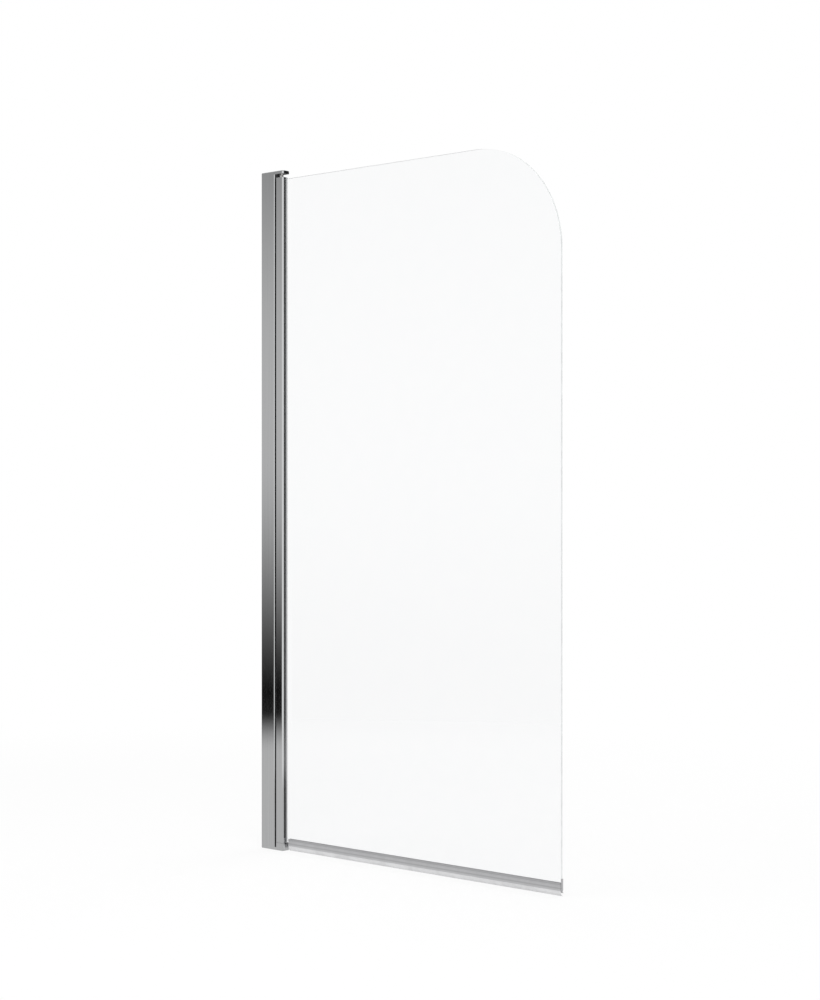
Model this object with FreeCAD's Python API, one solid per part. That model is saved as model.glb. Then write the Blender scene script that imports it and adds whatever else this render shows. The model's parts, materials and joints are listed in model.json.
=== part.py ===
import FreeCAD, Part
import math
import os

# Hinged bath screen: a wall channel, an adjusting post, and a glass leaf that swings outwards
# and rises on a cam as it turns.
# Frame, in millimetres: the wall is the plane x = 0 and the leaf runs along +X.
# y = 0 is the middle of the profiles; -Y is the room side and +Y is the bath side.
# z = 0 is the lower end of the wall channel, which stands on the bath's rim.

# Whole screen
screen_height = 1400.0
screen_width = 774.0
profile_depth = 19.0

# Wall channel and its caps
channel_reach = 33.5
channel_web = 2.0
channel_flange = 1.6
wall_cap_plate = 2.0
wall_cap_leg_length = 18.0
wall_cap_leg_width = 3.0
wall_hole_radius = 2.5
wall_hole_inset = 100.0

# Adjusting post
adjust_travel = 15.0
screw_head_room = 4.0
slide_gap = 0.2
tongue_wall = 1.5
post_head_width = 3.9
post_edge_radius = 2.7
screw_port_wall = 1.2
screw_port_inset = 6.0
groove_width = 5.6

# Clamping screws of the adjusting post
lock_screw_radius = 2.0
lock_screw_inset = 150.0
lock_screw_setback = 6.5
lock_screw_end = 1.0
lock_head_radius = 3.8
lock_head_height = 2.2
lock_nut_width = 8.0
lock_nut_thickness = 2.6
cover_cap_radius = 5.4
cover_cap_wall = 0.8
clear_gap = 0.3
cut_margin = 1.0
tolerance = 0.000001
end_bevel = 1.3

# Pivot arms
arm_plate = 6.4
arm_tongue = 4.3
lower_block_height = 15.8
arm_screw_radius = 1.75
arm_screw_length = 16.0
arm_screw_head_radius = 3.3
arm_screw_head_height = 2.0
end_cap_plate = 1.2
end_cap_margin = 1.9
end_cap_peg_length = 2.6
end_cap_peg_width = 8.0
end_cap_peg_thickness = 3.0

# Hinge profile of the leaf
leaf_profile_width = 19.6
leaf_chamfer = 2.7
leaf_rear_chamfer = 1.2
leaf_edge_radius = 0.4
leaf_wall = 1.3
slot_wall = 1.0
slot_lip_reach = 1.6
slot_lip_thickness = 0.9
slot_lip_radius = 0.5
rear_jaw_setback = 5.5
end_gap = 0.4

# Pivot and rising cam
pivot_inset = 11.4
pivot_pin_radius = 3.0
pivot_pin_flat = 2.4
pivot_pin_seat = 2.8
running_gap = 0.05
press_gap = 0.02
bush_wall = 0.7
bush_length = 24.0
bush_flange = 1.0
swing_angle = 90.0
swing_lift = 4.5
lift_clearance = 3.1
end_plug_length = 32.0
plug_gap = 0.1
cam_starts = 2
cam_base = 2.0
cam_cover = 1.0
cam_body = 10.0
cam_step_angle = 5.0
cam_lug_width = 2.0
cam_lug_reach = 0.9
plug_screw_radius = 1.5
plug_screw_length = 4.8
plug_screw_head_radius = 2.6

# Glass and what holds it
glass_thickness = 5.0
glass_setback = 11.9
glass_bite = 12.6
glass_corner_radius = 203.0
glass_arris = 0.5
glass_end_gap = 0.4
glass_top_setback = 2.5
gasket_thickness = 0.8
gasket_lip = 0.7
packer_thickness = 2.0
packer_length = 60.0
packer_inset = 180.0

# Seal under the glass
rail_gap = 5.4
rail_leg = 1.6
rail_grip = 8.1
rail_floor = 1.5
rail_depth_below_floor = 4.8
rail_lip_radius = 0.8
fin_thickness = 0.9
front_fin_drop = 9.8
front_fin_straight = 3.0
front_fin_tip_reach = 6.1
rear_fin_drop = 4.8
rear_fin_straight = 1.0
rear_fin_tip_reach = 3.0
end_stop_plate = 1.4
end_stop_rise = 9.6
end_stop_plug = 9.0

# Cushion seal in the groove
seal_width = 7.0
seal_offset = 0.5
seal_slot_depth = 1.2
seal_slot_undercut = 0.8
seal_stand = 1.6
seal_corner_radius = 1.2

# Derived places
full_turn = 360.0
quarter_turn = full_turn / 4
half_depth = profile_depth / 2
inner_half_depth = half_depth - channel_flange
tongue_half_depth = inner_half_depth - slide_gap
tongue_start = channel_web + screw_head_room
post_end = channel_reach + post_head_width
leaf_start = post_end + groove_width
leaf_end = leaf_start + leaf_profile_width
leaf_bottom = lower_block_height + end_gap
leaf_top = screen_height - arm_plate - swing_lift - lift_clearance
glass_front = glass_setback - half_depth
glass_back = glass_front + glass_thickness
glass_start = leaf_end - glass_bite
glass_bottom = leaf_bottom + glass_end_gap
glass_top = leaf_top - glass_top_setback
slot_front = glass_front - gasket_thickness
slot_back = glass_back + gasket_thickness
slot_floor = glass_start - packer_thickness
rear_jaw_end = leaf_end - rear_jaw_setback
chamber_front = leaf_wall - half_depth
chamber_back = slot_front - slot_wall
chamber_half_depth = (chamber_back - chamber_front) / 2
chamber_left = leaf_start + leaf_wall
chamber_right = leaf_end - leaf_wall
pivot_x = leaf_start + pivot_inset
pivot_y = (chamber_front + chamber_back) / 2
bush_bore = pivot_pin_radius + running_gap
bush_outer = bush_bore + bush_wall
flange_radius = bush_outer + bush_wall / 2
plug_bore = bush_outer + running_gap
cam_outer = chamber_half_depth - plug_gap
ramp_sweep = full_turn / cam_starts
ramp_height = swing_lift * ramp_sweep / swing_angle
ramp_top = lower_block_height - cam_cover
ramp_bottom = ramp_top - ramp_height
pocket_floor = ramp_bottom - cam_base
pocket_radius = cam_outer + clear_gap
lock_screw_x = channel_reach - lock_screw_setback
lock_nut_back = tongue_half_depth - tongue_wall - plug_gap
lock_nut_front = lock_nut_back - lock_nut_thickness
lock_heights = (lock_screw_inset, screen_height / 2, screen_height - lock_screw_inset)
wall_hole_heights = (wall_hole_inset, screen_height / 2, screen_height - wall_hole_inset)
port_radius = arm_screw_radius + screw_port_wall
port_y = port_radius + tongue_wall - tongue_half_depth
port_places = (tongue_start + screw_port_inset, channel_reach - screw_port_inset)
rail_start = leaf_end + rail_gap
rail_top = glass_bottom + rail_grip
rail_bottom = glass_bottom - rail_floor - rail_depth_below_floor
rail_front = glass_front - rail_leg
rail_back = glass_back + rail_leg


def vector(x, y, z=0.0):
    return FreeCAD.Vector(x, y, z)


def outline(corners):
    """Closed face in the XY plane from corners (x, y, radius); a radius above 0 rounds the corner."""
    points = [vector(c[0], c[1]) for c in corners]
    starts, ends, middles = [], [], []
    for index, corner in enumerate(corners):
        point = points[index]
        to_previous = (points[index - 1] - point).normalize()
        to_next = (points[(index + 1) % len(points)] - point).normalize()
        radius = corner[2]
        half_angle = to_previous.getAngle(to_next) / 2
        setback = radius / math.tan(half_angle)
        bisector = (to_previous + to_next).normalize() if radius else vector(0, 0)
        starts.append(point + to_previous * setback)
        ends.append(point + to_next * setback)
        middles.append(point + bisector * (radius / math.sin(half_angle) - radius))
    edges = []
    for index, corner in enumerate(corners):
        if corner[2]:
            edges.append(Part.Arc(starts[index], middles[index], ends[index]).toShape())
        following = starts[(index + 1) % len(corners)]
        if ends[index].distanceToPoint(following) > tolerance:
            edges.append(Part.LineSegment(ends[index], following).toShape())
    return Part.Face(Part.Wire(edges))


def upright(face, bottom, top):
    """Extrudes a face of the XY plane from one height to another."""
    solid = face.extrude(vector(0, 0, top - bottom))
    solid.translate(vector(0, 0, bottom))
    return solid


def along_x(face, start, end):
    """Extrudes a face drawn as (y, z) in the XY plane along X."""
    placed = face.copy()
    placed.transformShape(FreeCAD.Matrix(0, 0, 1, 0, 1, 0, 0, 0, 0, 1, 0, 0, 0, 0, 0, 1))
    placed.translate(vector(start, 0, 0))
    return placed.extrude(vector(end - start, 0, 0))


def block(low, high):
    size = [high[i] - low[i] for i in range(3)]
    return Part.makeBox(size[0], size[1], size[2], vector(low[0], low[1], low[2]))


def post_cylinder(radius, x, y, bottom, top):
    return Part.makeCylinder(radius, top - bottom, vector(x, y, bottom))


def rear_cylinder(radius, x, z, near, far):
    """Cylinder along +Y, between two places on that axis."""
    return Part.makeCylinder(radius, far - near, vector(x, near, z), vector(0, 1, 0))


def tube(bore, radius, x, y, bottom, top):
    return post_cylinder(radius, x, y, bottom, top).cut(post_cylinder(bore, x, y, bottom, top))


def rectangle(left, front, right, back, radius=0.0):
    corners = [(left, front), (right, front), (right, back), (left, back)]
    return outline([(x, y, radius) for x, y in corners])


def countersunk_screw(shank_radius, length, head_radius, head_height):
    """Screw along -Z with its flat head at the origin."""
    head = Part.makeCone(shank_radius, head_radius, head_height, vector(0, 0, -head_height))
    shank = Part.makeCylinder(shank_radius, length - head_height, vector(0, 0, -length))
    return head.fuse(shank)


def bevelled_below(solid, left, right):
    """Bevels the lower edges of a piece that closes one end, apart from those along two places.

    The edge at left and the edge at right meet a neighbour, so they stay square.
    """
    edges = []
    for edge in solid.Edges:
        box = edge.BoundBox
        if box.ZMax < tolerance and box.XMax > left + tolerance and box.XMin < right - tolerance:
            edges.append(edge)
    return solid.makeChamfer(end_bevel, edges)


def mirrored_in_height(shape):
    """The same piece at the other end of the screen."""
    return shape.mirror(vector(0, 0, screen_height / 2), vector(0, 0, 1))


# Fixed to the wall


def wall_profile():
    channel = rectangle(0, -half_depth, channel_reach, half_depth)
    hollow = rectangle(channel_web, -inner_half_depth, channel_reach + cut_margin, inner_half_depth)
    solid = upright(channel.cut(hollow), wall_cap_plate, screen_height - wall_cap_plate)
    for height in wall_hole_heights:
        hole = Part.makeCylinder(wall_hole_radius, channel_web, vector(0, 0, height), vector(1, 0, 0))
        solid = solid.cut(hole)
    for height in lock_heights:
        hole = rear_cylinder(lock_screw_radius + clear_gap, lock_screw_x, height, 0, half_depth)
        solid = solid.cut(hole)
    return solid


def wall_cap_bottom():
    plate = block((0, -half_depth, 0), (channel_reach, half_depth, wall_cap_plate))
    plate = bevelled_below(plate, 0, channel_reach)
    leg_end = channel_web + wall_cap_leg_width
    leg_top = wall_cap_plate + wall_cap_leg_length
    leg_outer = inner_half_depth
    leg_inner = inner_half_depth - tongue_wall
    rear_leg = block((channel_web, leg_inner, 0), (leg_end, leg_outer, leg_top))
    front_leg = block((channel_web, -leg_outer, 0), (leg_end, -leg_inner, leg_top))
    return plate.fuse([rear_leg, front_leg]).removeSplitter()


def lock_screws():
    screws = []
    for height in lock_heights:
        shank_end = lock_nut_front - lock_screw_end
        head_top = half_depth + lock_head_height
        shank = rear_cylinder(lock_screw_radius, lock_screw_x, height, shank_end, half_depth)
        head = rear_cylinder(lock_head_radius, lock_screw_x, height, half_depth, head_top)
        slot = block(
            (lock_screw_x - lock_head_radius, half_depth + lock_head_height / 2, height - clear_gap),
            (lock_screw_x + lock_head_radius, head_top, height + clear_gap),
        )
        screws.append(shank.fuse(head).cut(slot))
    return Part.makeCompound(screws)


def lock_nuts():
    nuts = []
    half_width = lock_nut_width / 2
    for height in lock_heights:
        plate = block(
            (lock_screw_x - half_width, lock_nut_front, height - half_width),
            (lock_screw_x + half_width, lock_nut_back, height + half_width),
        )
        bore_radius = lock_screw_radius + press_gap
        bore = rear_cylinder(bore_radius, lock_screw_x, height, lock_nut_front, lock_nut_back)
        nuts.append(plate.cut(bore))
    return Part.makeCompound(nuts)


def screw_cover_caps():
    caps = []
    inner_radius = cover_cap_radius - cover_cap_wall
    inner_top = half_depth + lock_head_height + clear_gap
    top = inner_top + cover_cap_wall
    for height in lock_heights:
        shell = rear_cylinder(cover_cap_radius, lock_screw_x, height, half_depth, top)
        rim = [edge for edge in shell.Edges if abs(edge.BoundBox.YMin - top) < tolerance]
        shell = shell.makeFillet(cover_cap_wall, rim)
        inside = rear_cylinder(inner_radius, lock_screw_x, height, half_depth, inner_top)
        caps.append(shell.cut(inside))
    return Part.makeCompound(caps)


# Sliding with the width adjustment


def hinge_post():
    bottom = arm_plate
    top = screen_height - arm_plate
    head = outline(
        [
            (channel_reach, -half_depth, 0),
            (post_end, -half_depth, post_edge_radius),
            (post_end, half_depth, post_edge_radius),
            (channel_reach, half_depth, 0),
        ]
    )
    hollow_half_depth = tongue_half_depth - tongue_wall
    tongue = rectangle(tongue_start, -tongue_half_depth, channel_reach, tongue_half_depth)
    hollow = rectangle(tongue_start - cut_margin, -hollow_half_depth, channel_reach, hollow_half_depth)
    post = upright(head.cut(seal_slot()), bottom, top).fuse(upright(tongue.cut(hollow), bottom, top))
    for x in port_places:
        foot_section = rectangle(x - port_radius, -tongue_half_depth, x + port_radius, port_y)
        foot = upright(foot_section, bottom, top)
        post = post.fuse([post_cylinder(port_radius, x, port_y, bottom, top), foot])
    for x in port_places:
        post = post.cut(post_cylinder(arm_screw_radius + press_gap, x, port_y, bottom, top))
    post = post.removeSplitter()
    slot_radius = lock_screw_radius + clear_gap
    slot_end = lock_screw_x - adjust_travel
    near = hollow_half_depth - clear_gap
    far = tongue_half_depth
    for height in lock_heights:
        middle = block((slot_end, near, height - slot_radius), (lock_screw_x, far, height + slot_radius))
        ends = [rear_cylinder(slot_radius, x, height, near, far) for x in (slot_end, lock_screw_x)]
        post = post.cut(middle.fuse(ends))
    return post


def seal_slot():
    """Dovetail slot for the cushion seal in the post's end face."""
    half_floor = seal_width / 2
    half_mouth = half_floor - seal_slot_undercut
    floor_x = post_end - seal_slot_depth
    return outline(
        [
            (floor_x, seal_offset - half_floor, 0),
            (post_end, seal_offset - half_mouth, 0),
            (post_end, seal_offset + half_mouth, 0),
            (floor_x, seal_offset + half_floor, 0),
        ]
    )


def hinge_seal():
    """Cushion seal: a dovetail foot and a low rounded pad that faces the leaf."""
    front = seal_offset - seal_width / 2
    back = seal_offset + seal_width / 2
    pad = outline(
        [
            (post_end, front, 0),
            (post_end + seal_stand, front, seal_corner_radius),
            (post_end + seal_stand, back, seal_corner_radius),
            (post_end, back, 0),
        ]
    )
    section = seal_slot().fuse(pad).removeSplitter()
    return upright(section, arm_plate, screen_height - arm_plate)


def leaf_outline(edge_radius):
    """Outer section of the hinge profile, shared by the arms that close it above and below."""
    return outline(
        [
            (leaf_start, -half_depth, edge_radius),
            (leaf_end - leaf_chamfer, -half_depth, edge_radius),
            (leaf_end, leaf_chamfer - half_depth, edge_radius),
            (leaf_end, half_depth - leaf_rear_chamfer, 0),
            (leaf_end - leaf_rear_chamfer, half_depth, 0),
            (leaf_start, half_depth, edge_radius),
        ]
    )


def arm_base():
    """Plate of an arm at the lower end: the tongue in the channel and the part that shows."""
    bridge = rectangle(channel_reach, -half_depth, leaf_start + leaf_wall, half_depth)
    plate = upright(bridge.fuse(leaf_outline(0)).removeSplitter(), 0, arm_plate)
    plate = bevelled_below(plate, channel_reach, leaf_end + cut_margin)
    tongue = block(
        (tongue_start, -tongue_half_depth, arm_plate - arm_tongue),
        (channel_reach, tongue_half_depth, arm_plate),
    )
    arm = plate.fuse(tongue).removeSplitter()
    hole_low = arm_plate - arm_tongue
    for x in port_places:
        arm = arm.cut(post_cylinder(arm_screw_radius + clear_gap, x, port_y, hole_low, arm_plate))
        seat_top = hole_low + arm_screw_head_height
        seat = Part.makeCone(
            arm_screw_head_radius + clear_gap,
            arm_screw_radius + clear_gap,
            seat_top - hole_low,
            vector(x, port_y, hole_low),
        )
        arm = arm.cut(seat)
    return arm


def bottom_pivot_arm():
    arm = arm_base().fuse(upright(leaf_outline(0), arm_plate, lower_block_height)).removeSplitter()
    arm = arm.cut(post_cylinder(pocket_radius, pivot_x, pivot_y, pocket_floor, lower_block_height))
    seat_low = pocket_floor - pivot_pin_seat
    pin_hole = post_cylinder(pivot_pin_radius, pivot_x, pivot_y, seat_low, pocket_floor)
    return arm.cut(pin_hole).cut(cam_lug(clear_gap))


def arm_end_cap():
    """Plate let into the end of the top arm, with a peg that holds it there."""
    low = screen_height - arm_plate
    pocket = block(
        (leaf_end - end_cap_plate, leaf_chamfer - half_depth, low),
        (leaf_end, half_depth - end_cap_margin, screen_height),
    )
    plate = mirrored_in_height(arm_base()).common(pocket)
    half_width = end_cap_peg_width / 2
    middle = low + arm_plate / 2
    peg = block(
        (
            leaf_end - end_cap_plate - end_cap_peg_length,
            -half_width,
            middle - end_cap_peg_thickness / 2,
        ),
        (leaf_end - end_cap_plate, half_width, middle + end_cap_peg_thickness / 2),
    )
    return plate.fuse(peg).removeSplitter()


def top_pivot_arm():
    low = screen_height - arm_plate
    arm = mirrored_in_height(arm_base()).cut(arm_end_cap())
    seat_top = low + pivot_pin_seat + cam_base
    return arm.cut(post_cylinder(pivot_pin_radius, pivot_x, pivot_y, low, seat_top))


def flatted_pin(low, high, flat_low, flat_high):
    """Pivot pin with a flat that keeps its bush from turning."""
    pin = post_cylinder(pivot_pin_radius, pivot_x, pivot_y, low, high)
    flat = block(
        (pivot_x + pivot_pin_flat, pivot_y - pivot_pin_radius, flat_low),
        (pivot_x + pivot_pin_radius, pivot_y + pivot_pin_radius, flat_high),
    )
    return pin.cut(flat)


def bottom_bush_low():
    return leaf_bottom + cam_body


def bottom_pivot_pin():
    top = bottom_bush_low() + bush_flange + bush_length
    return flatted_pin(pocket_floor - pivot_pin_seat, top, bottom_bush_low() - end_gap, top)


def top_pivot_pin():
    top = screen_height - arm_plate + pivot_pin_seat + cam_base
    low = leaf_top - bush_length
    return flatted_pin(low, top, low, leaf_top + swing_lift + end_gap)


def arm_screws_bottom():
    screws = []
    for x in port_places:
        screw = countersunk_screw(
            arm_screw_radius, arm_screw_length, arm_screw_head_radius, arm_screw_head_height
        )
        screw.rotate(vector(0, 0, 0), vector(1, 0, 0), 180)
        screw.translate(vector(x, port_y, arm_plate - arm_tongue))
        screws.append(screw)
    return Part.makeCompound(screws)


# Rising cam


def above_ramps(lift):
    """Everything above the helical ramps, each of which falls away anticlockwise from its step.

    A ramp is made of patches of a quarter turn or less, because a longer ruled face twists.
    """
    patches = math.ceil(ramp_sweep / quarter_turn)
    rise = ramp_height / patches
    pitch = ramp_height * cam_starts
    above = []
    for patch in range(patches * cam_starts):
        inner = Part.makeHelix(pitch, rise, pivot_pin_radius - cut_margin).Edges[0]
        outer = Part.makeHelix(pitch, rise, pocket_radius + cut_margin).Edges[0]
        solid = Part.makeRuledSurface(inner, outer).extrude(vector(0, 0, leaf_bottom - pocket_floor))
        solid = solid.mirror(vector(0, 0, 0), vector(0, 1, 0))
        solid.rotate(vector(0, 0, 0), vector(0, 0, 1), -patch * ramp_sweep / patches)
        height = ramp_bottom + lift + rise * (patch % patches)
        solid.translate(vector(pivot_x, pivot_y, height))
        above.append(solid)
    return above


def cam_lug(gap):
    """Lug that keeps the fixed cam from turning in its pocket, or its notch."""
    half_width = cam_lug_width / 2 + gap
    reach = pocket_radius + cam_lug_reach + gap
    inner = pivot_pin_radius + running_gap
    return block(
        (pivot_x - reach, pivot_y - half_width, pocket_floor),
        (pivot_x - inner, pivot_y + half_width, ramp_bottom + gap),
    )


def lower_cam():
    bore = pivot_pin_radius + press_gap
    ring = tube(bore, cam_outer, pivot_x, pivot_y, pocket_floor, ramp_top)
    lug = cam_lug(0.0).cut(post_cylinder(bore, pivot_x, pivot_y, pocket_floor, ramp_top))
    return ring.fuse(lug).removeSplitter().cut(above_ramps(0.0))


def chamber(gap):
    """Section of the pivot chamber, drawn in by a gap on every side."""
    corner = leaf_chamfer - (leaf_wall + gap) * (2 - math.sqrt(2))
    left = chamber_left + gap
    right = chamber_right - gap
    front = chamber_front + gap
    back = chamber_back - gap
    return outline(
        [
            (left, front, 0),
            (right - corner, front, 0),
            (right, front + corner, 0),
            (right, back, 0),
            (left, back, 0),
        ]
    )


def upper_cam():
    bore = pivot_pin_radius + clear_gap
    nose = tube(bore, cam_outer, pivot_x, pivot_y, ramp_bottom, leaf_bottom)
    ramps = []
    for solid in above_ramps(clear_gap):
        solid.rotate(vector(pivot_x, pivot_y, 0), vector(0, 0, 1), -cam_step_angle)
        solid.translate(vector(0, 0, swing_lift * cam_step_angle / swing_angle))
        ramps.append(nose.common(solid))
    body_top = leaf_bottom + cam_body - plug_gap
    body = upright(chamber(plug_gap), leaf_bottom, body_top)
    body = body.cut(post_cylinder(bore, pivot_x, pivot_y, leaf_bottom, body_top))
    return body.fuse(ramps).removeSplitter()


# Rising on the pins


def bush(flange_low, sleeve_low, sleeve_high):
    """Flanged bush whose flatted bore slides on the pin."""
    sleeve = post_cylinder(bush_outer, pivot_x, pivot_y, sleeve_low, sleeve_high)
    flange_top = flange_low + bush_flange
    flange = post_cylinder(flange_radius, pivot_x, pivot_y, flange_low, flange_top)
    bore_low = min(flange_low, sleeve_low)
    bore = post_cylinder(bush_bore, pivot_x, pivot_y, bore_low, sleeve_high + bush_flange)
    flat_x = pivot_x + pivot_pin_flat + running_gap
    flat = block(
        (flat_x, pivot_y - bush_outer, bore_low),
        (flat_x + bush_outer, pivot_y + bush_outer, screen_height),
    )
    return sleeve.fuse(flange).cut(bore.cut(flat)).removeSplitter()


def bottom_bush():
    low = bottom_bush_low()
    return bush(low + plug_gap, low + bush_flange, low + bush_flange + bush_length - clear_gap)


def top_bush():
    return bush(leaf_top - bush_flange, leaf_top - bush_length, leaf_top - bush_flange)


# Swinging leaf


def hinge_profile():
    slot = rectangle(slot_floor, slot_front, leaf_end + slot_lip_reach, slot_back)
    rear_hollow = rectangle(chamber_left, slot_front, slot_floor - leaf_wall, slot_back)
    lip = outline(
        [
            (chamber_right, slot_front - slot_lip_thickness, 0),
            (leaf_end + slot_lip_reach, slot_front - slot_lip_thickness, slot_lip_radius),
            (leaf_end + slot_lip_reach, slot_front, 0),
            (chamber_right, slot_front, 0),
        ]
    )
    section = leaf_outline(leaf_edge_radius).fuse(lip).removeSplitter()
    beyond_jaw = rectangle(rear_jaw_end, glass_back, leaf_end + cut_margin, half_depth + cut_margin)
    section = section.cut([slot, rear_hollow, chamber(0.0), beyond_jaw])
    solid = upright(section, leaf_bottom, leaf_top)
    return solid.cut(plug_screws_solid(clear_gap))


def plug_screw_heights():
    low = bottom_bush_low() + end_plug_length / 2
    return (low, leaf_top - end_plug_length / 2)


def plug_screws_solid(gap):
    """Screws that enter each end plug from the groove, or the holes for them."""
    screws = []
    for height in plug_screw_heights():
        screw = countersunk_screw(
            plug_screw_radius + gap, plug_screw_length + gap, plug_screw_head_radius + gap, leaf_wall
        )
        screw.rotate(vector(0, 0, 0), vector(0, 1, 0), -90)
        screw.translate(vector(leaf_start, pivot_y, height))
        screws.append(screw)
    return Part.makeCompound(screws)


def plug_screws():
    return plug_screws_solid(0.0)


def end_plug(low, high, flange_low):
    plug = upright(chamber(plug_gap), low, high)
    plug = plug.cut(post_cylinder(plug_bore, pivot_x, pivot_y, low, high))
    seat_radius = flange_radius + running_gap
    seat_top = flange_low + bush_flange + plug_gap
    plug = plug.cut(post_cylinder(seat_radius, pivot_x, pivot_y, flange_low, seat_top))
    for height in plug_screw_heights():
        start = vector(leaf_start, pivot_y, height)
        bore_radius = plug_screw_radius + press_gap
        plug = plug.cut(Part.makeCylinder(bore_radius, plug_screw_length, start, vector(1, 0, 0)))
    return plug.removeSplitter()


def bottom_end_plug():
    low = bottom_bush_low()
    return end_plug(low, low + end_plug_length, low)


def top_end_plug():
    return end_plug(leaf_top - end_plug_length, leaf_top, leaf_top - bush_flange - plug_gap)


def front_gasket():
    """Glazing strip between the slot's lip and the glass."""
    strip = rectangle(glass_start, slot_front, leaf_end + slot_lip_reach, glass_front)
    return upright(strip, glass_bottom, glass_top)


def rear_gasket():
    """Glazing strip behind the glass, with a small lip outside the slot."""
    strip = rectangle(glass_start, glass_back, rear_jaw_end, slot_back)
    lip = rectangle(rear_jaw_end, glass_back, rear_jaw_end + gasket_lip, slot_back + gasket_lip)
    return upright(strip.fuse(lip).removeSplitter(), glass_bottom, glass_top)


def glass_packers():
    packers = []
    for low in (glass_bottom + packer_inset, glass_top - packer_inset - packer_length):
        top = low + packer_length
        packers.append(block((slot_floor, glass_front, low), (glass_start, glass_back, top)))
    return Part.makeCompound(packers)


def glass_panel():
    face = outline(
        [
            (glass_start, glass_bottom, 0),
            (screen_width, glass_bottom, 0),
            (screen_width, glass_top, glass_corner_radius),
            (glass_start, glass_top, 0),
        ]
    )
    face.rotate(vector(0, 0, 0), vector(1, 0, 0), 90)
    face.translate(vector(0, glass_back, 0))
    pane = face.extrude(vector(0, -glass_thickness, 0))
    rims = [edge for edge in pane.Edges if edge.BoundBox.YLength < glass_thickness / 2]
    return pane.makeChamfer(glass_arris, rims)


# Seal under the glass


def seal_rail():
    floor_top = glass_bottom
    cell_top = floor_top - rail_floor
    cell_bottom = rail_bottom + rail_floor
    section = outline(
        [
            (rail_front, rail_bottom, rail_lip_radius),
            (rail_back, rail_bottom, rail_lip_radius),
            (rail_back, rail_top, rail_lip_radius),
            (glass_back, rail_top, 0),
            (glass_back, floor_top, 0),
            (glass_front, floor_top, 0),
            (glass_front, rail_top, 0),
            (rail_front, rail_top, rail_lip_radius),
        ]
    )
    cell = rectangle(glass_front, cell_bottom, glass_back, cell_top)
    return along_x(section.cut(cell), rail_start, screen_width)


def fin_face(root_y, drop, straight, reach):
    """Section of a soft fin that hangs from the rail and then curls to the bath side.

    Its middle line runs straight down, then follows an arc to a tip that is drop below the rail
    and reach to the side of the root.
    """
    curl_drop = drop - straight
    radius = (curl_drop * curl_drop + reach * reach) / (2 * reach)
    tip_angle = math.degrees(math.asin(curl_drop / radius))
    centre_y = root_y + radius
    centre_z = rail_bottom - straight
    outer = radius + fin_thickness / 2
    inner = radius - fin_thickness / 2
    half_angle = tip_angle / 2

    def at(distance, angle):
        turn = math.radians(angle)
        return vector(centre_y - distance * math.cos(turn), centre_z - distance * math.sin(turn))

    outer_root = vector(centre_y - outer, rail_bottom)
    inner_root = vector(centre_y - inner, rail_bottom)
    edges = [
        Part.LineSegment(outer_root, at(outer, 0)).toShape(),
        Part.Arc(at(outer, 0), at(outer, half_angle), at(outer, tip_angle)).toShape(),
        Part.LineSegment(at(outer, tip_angle), at(inner, tip_angle)).toShape(),
        Part.Arc(at(inner, tip_angle), at(inner, half_angle), at(inner, 0)).toShape(),
        Part.LineSegment(at(inner, 0), inner_root).toShape(),
        Part.LineSegment(inner_root, outer_root).toShape(),
    ]
    return Part.Face(Part.Wire(edges))


def front_wiper_fin():
    root_y = rail_front + rail_lip_radius + fin_thickness / 2
    face = fin_face(root_y, front_fin_drop, front_fin_straight, front_fin_tip_reach)
    return along_x(face, rail_start, screen_width)


def rear_drip_fin():
    root_y = rail_back - rail_lip_radius - fin_thickness / 2
    face = fin_face(root_y, rear_fin_drop, rear_fin_straight, rear_fin_tip_reach)
    return along_x(face, rail_start, screen_width)


def seal_end_stop():
    """Clip on the free end: a plate over the glass edge and the rail, and a plug in the rail."""
    plate = block(
        (screen_width, rail_front, rail_bottom),
        (screen_width + end_stop_plate, rail_back, rail_top + end_stop_rise),
    )
    upright_edges = [edge for edge in plate.Edges if edge.BoundBox.XLength > end_stop_plate / 2]
    plate = plate.makeFillet(rail_lip_radius, upright_edges)
    plug = block(
        (screen_width - end_stop_plug, glass_front + plug_gap, rail_bottom + rail_floor + plug_gap),
        (screen_width, glass_back - plug_gap, glass_bottom - rail_floor - plug_gap),
    )
    return plate.fuse(plug)


pieces = {
    "wall_profile": wall_profile(),
    "wall_cap_bottom": wall_cap_bottom(),
    "wall_cap_top": mirrored_in_height(wall_cap_bottom()),
    "lock_screws": lock_screws(),
    "lock_nuts": lock_nuts(),
    "screw_cover_caps": screw_cover_caps(),
    "hinge_post": hinge_post(),
    "hinge_seal": hinge_seal(),
    "bottom_pivot_arm": bottom_pivot_arm(),
    "top_pivot_arm": top_pivot_arm(),
    "arm_end_cap": arm_end_cap(),
    "bottom_pivot_pin": bottom_pivot_pin(),
    "top_pivot_pin": top_pivot_pin(),
    "arm_screws_bottom": arm_screws_bottom(),
    "arm_screws_top": mirrored_in_height(arm_screws_bottom()),
    "lower_cam": lower_cam(),
    "upper_cam": upper_cam(),
    "bottom_bush": bottom_bush(),
    "top_bush": top_bush(),
    "hinge_profile": hinge_profile(),
    "bottom_end_plug": bottom_end_plug(),
    "top_end_plug": top_end_plug(),
    "plug_screws": plug_screws(),
    "front_gasket": front_gasket(),
    "rear_gasket": rear_gasket(),
    "glass_packers": glass_packers(),
    "glass_panel": glass_panel(),
    "seal_rail": seal_rail(),
    "front_wiper_fin": front_wiper_fin(),
    "rear_drip_fin": rear_drip_fin(),
    "seal_end_stop": seal_end_stop(),
}

os.makedirs("parts", exist_ok=True)
for name, shape in pieces.items():
    shape.exportStep(f"parts/{name}.step")
    print(f"{name}: {len(shape.Solids)} solids, valid {shape.isValid()}, {shape.Volume:.0f} mm3")
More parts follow.
